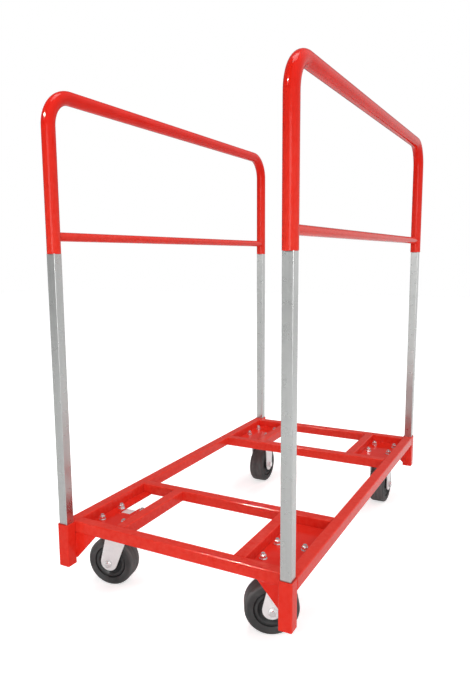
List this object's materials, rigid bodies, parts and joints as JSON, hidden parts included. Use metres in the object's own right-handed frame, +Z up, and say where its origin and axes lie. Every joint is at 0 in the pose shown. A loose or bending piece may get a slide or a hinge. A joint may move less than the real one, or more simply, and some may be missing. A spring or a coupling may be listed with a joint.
{
  "type": "table mover cart",
  "caption": "Low welded tube deck on two swivel and two rigid casters, with a lift-out tube hoop standing in pockets along each long side.",
  "frame": {"origin": "on the floor, under the middle of the deck's post layout", "axes": "+X from the left hoop to the right hoop, +Y from the swivel casters to the rigid casters, +Z up"},
  "size_m": [0.6601, 1.227, 1.2931],
  "materials": {
    "red_powder_coat": "gloss powder coat",
    "bare_post": "galvanised, satin",
    "zinc_plate": "bright zinc plate on pressed steel",
    "zinc_fastener": "bright zinc plate",
    "black_rubber": "moulded, matt"
  },
  "bodies": {
    "cart": {"side_rail_left": "red_powder_coat", "side_rail_right": "red_powder_coat", "end_rail_front": "red_powder_coat", "end_rail_rear": "red_powder_coat", "cross_member_front": "red_powder_coat", "cross_member_rear": "red_powder_coat", "bay_member_front_left": "red_powder_coat", "bay_member_front_right": "red_powder_coat", "bay_member_rear_left": "red_powder_coat", "bay_member_rear_right": "red_powder_coat", "bay_plate_front_left": "red_powder_coat", "bay_plate_front_right": "red_powder_coat", "bay_plate_rear_left": "red_powder_coat", "bay_plate_rear_right": "red_powder_coat", "post_pocket_front_left": "red_powder_coat", "post_pocket_front_right": "red_powder_coat", "post_pocket_rear_left": "red_powder_coat", "post_pocket_rear_right": "red_powder_coat", "pocket_gusset_front_left": "red_powder_coat", "pocket_gusset_front_right": "red_powder_coat", "pocket_gusset_rear_left": "red_powder_coat", "pocket_gusset_rear_right": "red_powder_coat", "caster_plate_front_left": "zinc_plate", "caster_plate_front_right": "zinc_plate", "caster_bracket_rear_left": "zinc_plate", "caster_bracket_rear_right": "zinc_plate", "caster_axle_rear_left": "zinc_fastener", "caster_axle_rear_right": "zinc_fastener", "mount_bolt_front_left_1": "zinc_fastener", "mount_bolt_front_left_2": "zinc_fastener", "mount_bolt_front_left_3": "zinc_fastener", "mount_bolt_front_left_4": "zinc_fastener", "mount_bolt_front_right_1": "zinc_fastener", "mount_bolt_front_right_2": "zinc_fastener", "mount_bolt_front_right_3": "zinc_fastener", "mount_bolt_front_right_4": "zinc_fastener", "mount_bolt_rear_left_1": "zinc_fastener", "mount_bolt_rear_left_2": "zinc_fastener", "mount_bolt_rear_left_3": "zinc_fastener", "mount_bolt_rear_left_4": "zinc_fastener", "mount_bolt_rear_right_1": "zinc_fastener", "mount_bolt_rear_right_2": "zinc_fastener", "mount_bolt_rear_right_3": "zinc_fastener", "mount_bolt_rear_right_4": "zinc_fastener"},
    "hoop_left": {"hoop_tube_left": "red_powder_coat", "hoop_low_bar_left": "red_powder_coat", "hoop_post_front_left": "bare_post", "hoop_post_rear_left": "bare_post"},
    "hoop_right": {"hoop_tube_right": "red_powder_coat", "hoop_low_bar_right": "red_powder_coat", "hoop_post_front_right": "bare_post", "hoop_post_rear_right": "bare_post"},
    "swivel_left": {"caster_fork_front_left": "zinc_plate", "caster_axle_front_left": "zinc_fastener"},
    "swivel_right": {"caster_fork_front_right": "zinc_plate", "caster_axle_front_right": "zinc_fastener"},
    "wheel_front_left": {"caster_wheel_front_left": "black_rubber"},
    "wheel_front_right": {"caster_wheel_front_right": "black_rubber"},
    "wheel_rear_left": {"caster_wheel_rear_left": "black_rubber"},
    "wheel_rear_right": {"caster_wheel_rear_right": "black_rubber"}
  },
  "joints": [
    {"name": "hoop_left_lift", "type": "slide", "parent": "cart", "child": "hoop_left", "axis": [0, 0, 1], "range_m": [0, 0.13]},
    {"name": "hoop_right_lift", "type": "slide", "parent": "cart", "child": "hoop_right", "axis": [0, 0, 1], "range_m": [0, 0.13]},
    {"name": "swivel_left_turn", "type": "hinge", "parent": "cart", "child": "swivel_left", "pos_m": [-0.2384, -0.451, 0.18213], "axis": [0, 0, 1], "continuous": true},
    {"name": "swivel_right_turn", "type": "hinge", "parent": "cart", "child": "swivel_right", "pos_m": [0.2384, -0.451, 0.18213], "axis": [0, 0, 1], "continuous": true},
    {"name": "wheel_front_left_roll", "type": "hinge", "parent": "swivel_left", "child": "wheel_front_left", "pos_m": [-0.2679, -0.45647, 0.06623], "axis": [0.1822, -0.9833, 0], "continuous": true},
    {"name": "wheel_front_right_roll", "type": "hinge", "parent": "swivel_right", "child": "wheel_front_right", "pos_m": [0.21179, -0.46485, 0.06623], "axis": [0.4617, -0.887, 0], "continuous": true},
    {"name": "wheel_rear_left_roll", "type": "hinge", "parent": "cart", "child": "wheel_rear_left", "pos_m": [-0.2384, 0.462, 0.06623], "axis": [-1, 0, 0], "continuous": true},
    {"name": "wheel_rear_right_roll", "type": "hinge", "parent": "cart", "child": "wheel_rear_right", "pos_m": [0.2384, 0.462, 0.06623], "axis": [-1, 0, 0], "continuous": true}
  ]
}
